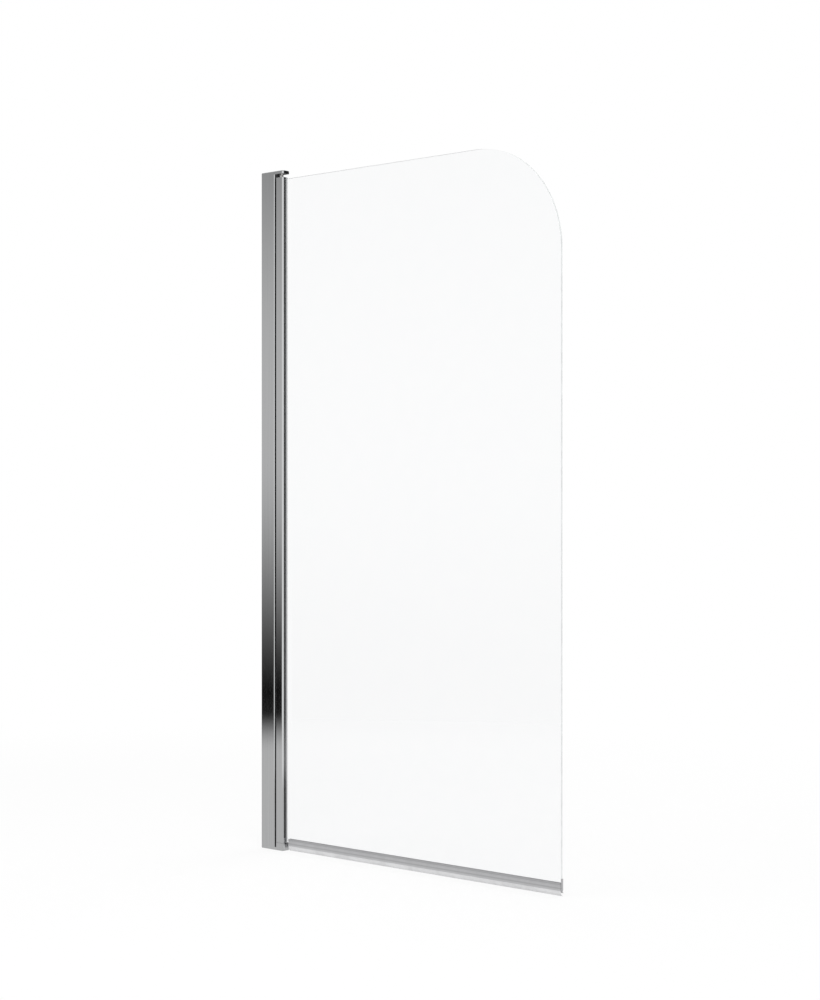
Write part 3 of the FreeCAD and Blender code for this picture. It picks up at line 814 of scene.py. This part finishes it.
class Bench:
    """One piece on the bench, worked on in edit mode. Every place and size is in millimetres."""

    def __init__(self, name: str) -> None:
        """Keep the name of the piece.

        Args:
            name: The piece's name.
        """
        self.name = name
        self.piece: bpy.types.Object | None = None

    def block(self, low: Point, high: Point) -> "Bench":
        """Start from a block between two corners.

        Args:
            low: The lowest corner.
            high: The highest corner.

        Returns:
            This bench.
        """
        bpy.ops.object.select_all(action="DESELECT")
        first, last = Vector(low) * MM, Vector(high) * MM
        bpy.ops.mesh.primitive_cube_add(size=1.0, location=(first + last) / 2, scale=last - first)
        return self._open()

    def disc(self, radius: float, low: Point, height: float) -> "Bench":
        """Start from a disc that stands out along +Y.

        Args:
            radius: Its radius.
            low: The middle of its near face.
            height: How far it stands out.

        Returns:
            This bench.
        """
        bpy.ops.object.select_all(action="DESELECT")
        middle = (Vector(low) + Vector((0, height / 2, 0))) * MM
        bpy.ops.mesh.primitive_cylinder_add(
            vertices=64,
            radius=radius * MM,
            depth=height * MM,
            location=middle,
            rotation=(-math.pi / 2, 0, 0),
        )
        return self._open()

    def _open(self) -> "Bench":
        """Name the new mesh, set its transform to identity and open it for editing.

        Returns:
            This bench.
        """
        self.piece = bpy.context.active_object
        self.piece.name = self.name
        self.piece.data.name = self.name
        bpy.ops.object.transform_apply(location=True, rotation=True, scale=True)
        bpy.ops.object.mode_set(mode="EDIT")
        return self

    def faces(self, test: FaceTest) -> "Bench":
        """Select only the faces that pass a test.

        Args:
            test: Takes a face's centre and its normal.

        Returns:
            This bench.
        """
        bpy.ops.mesh.select_mode(type="FACE")
        bpy.ops.mesh.select_all(action="DESELECT")
        mesh = bmesh.from_edit_mesh(self.piece.data)
        mesh.normal_update()
        for face in mesh.faces:
            if test(face.calc_center_median() / MM, face.normal):
                face.select_set(True)
        bmesh.update_edit_mesh(self.piece.data)
        return self

    def edges(self, test: EdgeTest) -> "Bench":
        """Select only the edges that pass a test.

        Args:
            test: Takes the middle of an edge and the vector from one end to the other.

        Returns:
            This bench.
        """
        bpy.ops.mesh.select_mode(type="EDGE")
        bpy.ops.mesh.select_all(action="DESELECT")
        mesh = bmesh.from_edit_mesh(self.piece.data)
        for edge in mesh.edges:
            first, last = (corner.co / MM for corner in edge.verts)
            if test((first + last) / 2, last - first):
                edge.select_set(True)
        bmesh.update_edit_mesh(self.piece.data)
        return self

    def cut(self, axis: int, *places: float) -> "Bench":
        """Cut across one axis at each place and keep both sides.

        Args:
            axis: 0, 1 or 2 for X, Y or Z.
            *places: Where the cuts lie on that axis.

        Returns:
            This bench.
        """
        normal = Vector((axis == 0, axis == 1, axis == 2))
        for place in places:
            bpy.ops.mesh.select_all(action="SELECT")
            bpy.ops.mesh.bisect(plane_co=normal * place * MM, plane_no=normal)
        return self

    def pull(self, x: float = 0.0, y: float = 0.0, z: float = 0.0) -> "Bench":
        """Extrude what is selected.

        Args:
            x: How far along X.
            y: How far along Y.
            z: How far along Z.

        Returns:
            This bench.
        """
        way = Vector((x, y, z)) * MM
        bpy.ops.mesh.extrude_region_move(TRANSFORM_OT_translate={"value": way})
        return self

    def widen(self, factor: Point, middle: Point) -> "Bench":
        """Resize what is selected about a point.

        Args:
            factor: The factor along each axis.
            middle: The point that stays.

        Returns:
            This bench.
        """
        bpy.ops.transform.resize(value=factor, center_override=Vector(middle) * MM)
        return self

    def inset(self, width: float, depth: float = 0.0) -> "Bench":
        """Inset what is selected.

        Args:
            width: The width of the rim that is left.
            depth: How far the inner face rises.

        Returns:
            This bench.
        """
        bpy.ops.mesh.inset(thickness=width * MM, depth=depth * MM)
        return self

    def bevel(self, width: float, segments: int = 3) -> "Bench":
        """Round what is selected.

        Args:
            width: The width of the round.
            segments: How many faces it has.

        Returns:
            This bench.
        """
        bpy.ops.mesh.bevel(offset=width * MM, segments=segments, affect="EDGES", clamp_overlap=True)
        return self

    def curl(self, centre: Point, degrees: float, steps: int, taper: float) -> "Bench":
        """Extrude the selected face in steps that turn about a line along X and get thinner.

        Args:
            centre: A point of that line.
            degrees: The whole turn.
            steps: How many steps there are.
            taper: The thickness of each step as a share of the one before.

        Returns:
            This bench.
        """
        for _ in range(steps):
            self.pull()
            bpy.ops.transform.rotate(
                value=-math.radians(degrees / steps),
                orient_axis="X",
                orient_type="GLOBAL",
                center_override=Vector(centre) * MM,
            )
            mesh = bmesh.from_edit_mesh(self.piece.data)
            corners = [corner.co / MM for corner in mesh.verts if corner.select]
            self.widen((1.0, taper, taper), sum(corners, Vector()) / len(corners))
        return self

    def done(self) -> bpy.types.Object:
        """Merge doubles, turn the normals outward, shade and close the mesh.

        Returns:
            The finished piece.
        """
        bpy.ops.mesh.select_all(action="SELECT")
        bpy.ops.mesh.remove_doubles(threshold=0.000001)
        bpy.ops.mesh.normals_make_consistent(inside=False)
        bpy.ops.object.mode_set(mode="OBJECT")
        bpy.ops.object.shade_smooth_by_angle(angle=math.radians(SMOOTH_ANGLE))
        bpy.ops.object.modifier_add(type="WEIGHTED_NORMAL")
        weighted = self.piece.modifiers[-1]
        weighted.keep_sharp = True
        weighted.weight = 90
        bpy.ops.object.modifier_apply(modifier=weighted.name)
        return self.piece


def box_of(node: str) -> tuple[Vector, Vector]:
    """Return the lowest and the highest corner of a CAD node, in millimetres."""
    low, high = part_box(node)
    return low / MM, high / MM


def near(value: float, place: float) -> bool:
    """Tell whether a value lies at a place."""
    return abs(value - place) < TOUCH


def at_end(value: float, low: float, high: float) -> bool:
    """Tell whether a value lies at either end of a span."""
    return near(value, low) or near(value, high)


@dataclass
class SubAssembly:
    """Pieces that are made and dressed together. Their sizes are in millimetres.

    GLASS_GAP keeps what grips the pane a hair off it, so that no face lies on a glass face.
    """

    GLASS_GAP: ClassVar[float] = 0.03
    finishes: Finishes

    def place(self, piece: bpy.types.Object, body: Body, slot: Slot, *nodes: str) -> None:
        """Dress a piece, let it ride on a body and let it stand for its CAD nodes.

        Args:
            piece: The finished piece.
            body: The body that it moves with.
            slot: Its finish.
            *nodes: The CAD nodes that it replaces.
        """
        self.finishes.dress(piece, slot)
        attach(piece, body.value)
        if nodes:
            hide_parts(*nodes)
        log.info("made %s", piece.name)

    def dress_faces(
        self, piece: bpy.types.Object, material: bpy.types.Material, test: Callable[[Vector], bool]
    ) -> None:
        """Put a second finish on some faces of a piece.

        Args:
            piece: The dressed piece.
            material: The second finish.
            test: Takes a face's normal and tells whether the face gets it.
        """
        piece.data.materials.append(material)
        for face in piece.data.polygons:
            if test(face.normal):
                face.material_index = 1


@dataclass
class GlassPane(SubAssembly):
    """The pane, with one large rounded corner and polished arrises."""

    corner: float = 203.0
    arris: float = 0.6
    edge_share: float = 0.5

    def build(self) -> None:
        """Make the pane from a block."""
        low, high = box_of("glass_panel")
        bench = Bench("glass_pane").block(low, high)
        bench.edges(lambda mid, way: near(mid.x, high.x) and near(mid.z, high.z))
        bench.bevel(self.corner, segments=64)
        bench.edges(lambda mid, way: at_end(mid.y, low.y, high.y))
        bench.bevel(self.arris, segments=3)
        piece = bench.done()
        self.place(piece, Body.LEAF, Slot.CLEAR_GLASS, "glass_panel")
        # Painted edge line: the faces round the pane's edge take the opaque grey glass finish.
        self.dress_faces(piece, self.finishes.glass_edge_shade, lambda way: abs(way.y) < self.edge_share)


@dataclass
class LowerSeal(SubAssembly):
    """The rail under the glass, its two fins and the stop on its free end."""

    leg: float = 1.6
    grip: float = 8.1
    floor: float = 1.5
    cell_reach: float = 30.0
    line_depth: float = 0.25
    line_width: float = 0.45
    line_above_cell: float = 0.6
    lines_above_step: tuple[float, ...] = (2.7, 5.0)
    lip_round: float = 0.7
    fin_thickness: float = 0.9
    fin_taper: float = 0.93
    fin_steps: int = 9
    fin_inset: float = 0.8
    front_fin_straight: float = 3.0
    rear_fin_straight: float = 1.0
    fin_tip_share: float = 0.3
    fin_tip_round: float = 0.15
    fin_tip_from: float = 0.85
    stop_round: float = 0.45
    stop_corner: float = 1.6
    stop_drop: float = 2.2
    stop_share: float = 0.4
    rim_margin: float = 0.1
    plug: float = 9.0
    plug_gap: float = 0.1
    low: Vector = field(init=False)
    high: Vector = field(init=False)

    def __post_init__(self) -> None:
        """Read the rail's lowest and highest corner."""
        self.low, self.high = box_of("seal_rail")

    def build(self) -> None:
        """Make every piece of the seal."""
        self.rail()
        inset = self.fin_inset + self.fin_thickness / 2
        self.fin("front_wiper_fin", self.low.y + inset, self.front_fin_straight)
        self.fin("rear_drip_fin", self.high.y - inset, self.rear_fin_straight)
        self.stop()

    def rail(self) -> None:
        """Make the channel that grips the glass, with drawn lines on its room side."""
        low, high = self.low, self.high
        step = high.z - self.grip
        front, back = low.y + self.leg - self.GLASS_GAP, high.y - self.leg + self.GLASS_GAP
        bench = Bench("sealing_rail").block(low, (high.x, high.y, step))
        bench.cut(1, front, back)
        bench.faces(lambda mid, way: way.z > FACING and not front < mid.y < back).pull(z=self.grip)
        cell_low, cell_high = low.z + self.floor, step - self.floor
        bench.cut(2, cell_low, cell_high)

        def mouth(mid: Vector, way: Vector) -> bool:
            """Tell the mouth of the lower cell at the hinge end."""
            return way.x < -FACING and front < mid.y < back and cell_low < mid.z < cell_high

        bench.faces(mouth).pull(x=self.cell_reach)
        line_places = (step + rise for rise in self.lines_above_step)
        for place in (cell_high + self.line_above_cell, *line_places):
            upper = place + self.line_width
            bench.cut(2, place, upper)
            bench.faces(lambda mid, way: near(mid.y, low.y) and place < mid.z < upper)
            bench.pull(y=self.line_depth)

        def outer(mid: Vector, way: Vector) -> bool:
            """Tell the long outer edges at the foot and at the lips."""
            outside = at_end(mid.y, low.y, high.y) and at_end(mid.z, low.z, high.z)
            return abs(way.x) > LONG and outside

        bench.edges(outer).bevel(self.lip_round, segments=4)
        self.place(bench.done(), Body.LEAF, Slot.GREY_VINYL, "seal_rail")

    def fin(self, node: str, root: float, straight: float) -> None:
        """Make a soft fin that hangs from the rail, curls to the bath side and thins to its tip.

        Args:
            node: The CAD node that it stands for.
            root: Where it leaves the rail on Y.
            straight: How far it hangs straight.
        """
        low, high = box_of(node)
        half = self.fin_thickness / 2
        bend = high.z - straight
        tip = half * self.fin_tip_share
        drop = bend - low.z - tip
        reach = high.y - root - tip
        radius = (drop * drop + reach * reach) / (2 * reach)
        turn = math.degrees(math.asin(drop / radius))
        first, last = (low.x, root - half, bend), (high.x, root + half, high.z)
        bench = Bench(node + "_soft").block(first, last)
        bench.faces(lambda mid, way: way.z < -FACING)
        bench.curl((0.0, root + radius, bend), turn, self.fin_steps, self.fin_taper)
        rounded_from = root + reach * self.fin_tip_from
        bench.edges(lambda mid, way: abs(way.x) > LONG and mid.y > rounded_from)
        bench.bevel(self.fin_tip_round, segments=2)
        self.place(bench.done(), Body.LEAF, Slot.SOFT_VINYL, node)

    def stop(self) -> None:
        """Make the stop that closes the rail's free end, as thick as the glass, with its plug."""
        low, high = box_of("seal_end_stop")
        start = self.high.x
        low.y, high.y = self.low.y + self.leg, self.high.y - self.leg
        low.z, high.z = low.z + self.floor, high.z - self.stop_drop
        front, back = low.y + self.plug_gap, high.y - self.plug_gap
        foot = self.low.z + self.floor + self.plug_gap
        head = self.high.z - self.grip - self.floor - self.plug_gap
        bench = Bench("rail_end_stop").block((start, low.y, low.z), high)
        bench.cut(1, front, back).cut(2, foot, head)

        def root(mid: Vector, way: Vector) -> bool:
            """Tell the face that the plug grows from."""
            return way.x < -FACING and front < mid.y < back and foot < mid.z < head

        bench.faces(root).pull(x=-self.plug)

        def corner(mid: Vector, way: Vector) -> bool:
            """Tell the four outer corners of the plate."""
            outside = at_end(mid.y, low.y, high.y) and at_end(mid.z, low.z, high.z)
            return near(abs(way.x), high.x - start) and outside

        bench.edges(corner).bevel(self.stop_corner, segments=6)
        bench.edges(self.outline_at(low, high)).bevel(self.stop_round, segments=3)
        piece = bench.done()
        self.place(piece, Body.LEAF, Slot.GREY_VINYL, "seal_end_stop")
        # Painted shade: the faces turned to +X and downwards take the second vinyl finish.
        share = self.stop_share
        self.dress_faces(piece, self.finishes.end_stop, lambda way: way.x > share or way.z < -share)

    def outline_at(self, low: Vector, high: Vector) -> EdgeTest:
        """Make the test for the rim of the end stop's outer face.

        Args:
            low: The stop's lowest corner.
            high: The stop's highest corner.

        Returns:
            The test.
        """

        def rim(mid: Vector, way: Vector) -> bool:
            """Tell an edge of the outer face that lies on its outline.

            Args:
                mid: The middle of the edge.
                way: The vector from one end to the other.

            Returns:
                Whether it does.
            """
            margin = self.rim_margin
            inner_y = low.y + margin < mid.y < high.y - margin
            inner_z = low.z + margin < mid.z < high.z - margin
            cut_line = near(way.y, 0) != near(way.z, 0) and inner_y and inner_z
            return near(mid.x, high.x) and not cut_line

        return rim


@dataclass
class SoftStrips(SubAssembly):
    """The cushion seal on the post and the glazing strips in the leaf's profile."""

    cushion_round: float = 1.1
    foot_inset: float = 0.8
    foot_reach: float = 2.7
    cushion_edge: float = 3.0
    flute: float = 0.3
    strip_round: float = 0.3
    lip: float = 0.7

    def build(self) -> None:
        """Make the three strips."""
        self.cushion()
        self.strip("front_gasket")
        self.strip("rear_gasket")

    def cushion(self) -> None:
        """Make the cushion with its dovetail foot and a flute along its middle."""
        low, high = box_of("hinge_seal")
        face = box_of("hinge_post")[1].x
        middle = (low.y + high.y) / 2
        bench = Bench("cushion_seal").block((face, low.y, low.z), high)
        bench.cut(1, low.y + self.foot_inset, middle - self.flute, middle + self.flute)
        bench.cut(1, high.y - self.foot_inset)
        bench.faces(lambda mid, way: way.x < -FACING and abs(mid.y - middle) < self.foot_reach)
        bench.pull(x=low.x - face)
        share = (high.y - low.y) / (high.y - low.y - 2 * self.foot_inset)
        bench.widen((1.0, share, 1.0), (low.x, middle, 0.0))
        bench.faces(lambda mid, way: way.x > FACING and abs(mid.y - middle) < self.flute)
        bench.pull(x=-self.flute)

        def shoulder(mid: Vector, way: Vector) -> bool:
            """Tell the two long outer edges."""
            outer = near(mid.x, high.x) and abs(mid.y - middle) > self.cushion_edge
            return abs(way.z) > LONG and outer

        bench.edges(shoulder).bevel(self.cushion_round, segments=5)
        self.place(bench.done(), Body.POST, Slot.BLACK_RUBBER, "hinge_seal")

    def strip(self, node: str) -> None:
        """Make a glazing strip with a rounded outer edge.

        Args:
            node: The CAD node that it stands for.
        """
        low, high = box_of(node)
        bench = Bench(node + "_soft")
        if node == "front_gasket":
            high.y -= self.GLASS_GAP
            bench.block(low, high)
        else:
            low.y += self.GLASS_GAP
            mouth = high.x - self.lip
            bench.block(low, (mouth, high.y - self.lip, high.z))
            bench.faces(lambda mid, way: way.x > FACING).pull(x=self.lip)
            bench.faces(lambda mid, way: way.y > FACING and mid.x > mouth).pull(y=self.lip)
        bench.edges(lambda mid, way: abs(way.z) > LONG and near(mid.x, high.x))
        bench.bevel(self.strip_round, segments=3)
        self.place(bench.done(), Body.LEAF, Slot.SOFT_VINYL, node)


def copy_up(piece: bpy.types.Object, name: str, rise: float) -> bpy.types.Object:
    """Copy a piece with its own mesh and raise the copy.

    Args:
        piece: The piece.
        name: The copy's name.
        rise: How far it is raised, in metres.

    Returns:
        The copy.
    """
    bpy.ops.object.select_all(action="DESELECT")
    piece.select_set(True)
    bpy.context.view_layer.objects.active = piece
    bpy.ops.object.duplicate(linked=False)
    copy = bpy.context.active_object
    copy.name = copy.data.name = name
    bpy.ops.transform.translate(value=(0, 0, rise))
    bpy.ops.object.transform_apply(location=True, rotation=True, scale=True)
    return copy


@dataclass
class CoverCaps(SubAssembly):
    """The three domed caps over the clamping screws, on the bath side."""

    OTHERS: ClassVar[tuple[str, ...]] = ("cover_cap_middle", "cover_cap_high")
    radius: float = 5.4
    wall: float = 0.8
    dome: float = 0.25
    dome_share: float = 0.45

    def build(self) -> None:
        """Make the lowest cap, copy it over the other screws, and dress them."""
        low, high = box_of("screw_cover_caps")
        foot = Vector(((low.x + high.x) / 2, low.y, low.z + self.radius))
        first = self.cap("cover_cap_low", foot, high.y - low.y)
        step = ((high.z - low.z) / 2 - self.radius) * MM
        others = [copy_up(first, name, step * number) for number, name in enumerate(self.OTHERS, 1)]
        self.place(first, Body.WALL, Slot.CHROME, "screw_cover_caps")
        for piece in others:
            self.place(piece, Body.WALL, Slot.CHROME)

    def cap(self, name: str, foot: Vector, height: float) -> bpy.types.Object:
        """Make one cap.

        Args:
            name: Its name.
            foot: The middle of its open side.
            height: How far it stands out.

        Returns:
            The cap.
        """
        rim = foot.y + height - self.dome
        bench = Bench(name).disc(self.radius, foot, height - self.dome)
        bench.faces(lambda mid, way: way.y > FACING).inset(self.radius * self.dome_share, self.dome)
        bench.edges(lambda mid, way: near(mid.y, rim)).bevel(self.wall, segments=5)
        bench.faces(lambda mid, way: way.y < -FACING).inset(self.wall)
        bench.pull(y=height - self.dome - self.wall)
        return bench.done()


def dress_frame(finishes: Finishes) -> None:
    """Give each CAD node the finish of its record slot.

    Args:
        finishes: The built finishes.
    """
    for part in frame["record"]["subparts"]:
        node = frame["nodes"][part["node"]]
        finishes.dress(node, Slot(part["material_slot"]))
        log.info("dressed %s as %s", part["node"], part["material_slot"])


def main() -> None:
    """Build the scene in order."""
    logging.basicConfig(level=logging.INFO, format="%(message)s")
    effects = Effects()
    Studio(effects).build()
    finishes = Finishes(effects)
    dress_frame(finishes)
    for made in (GlassPane, LowerSeal, SoftStrips, CoverCaps):
        made(finishes).build()


if __name__ == "__main__":
    main()
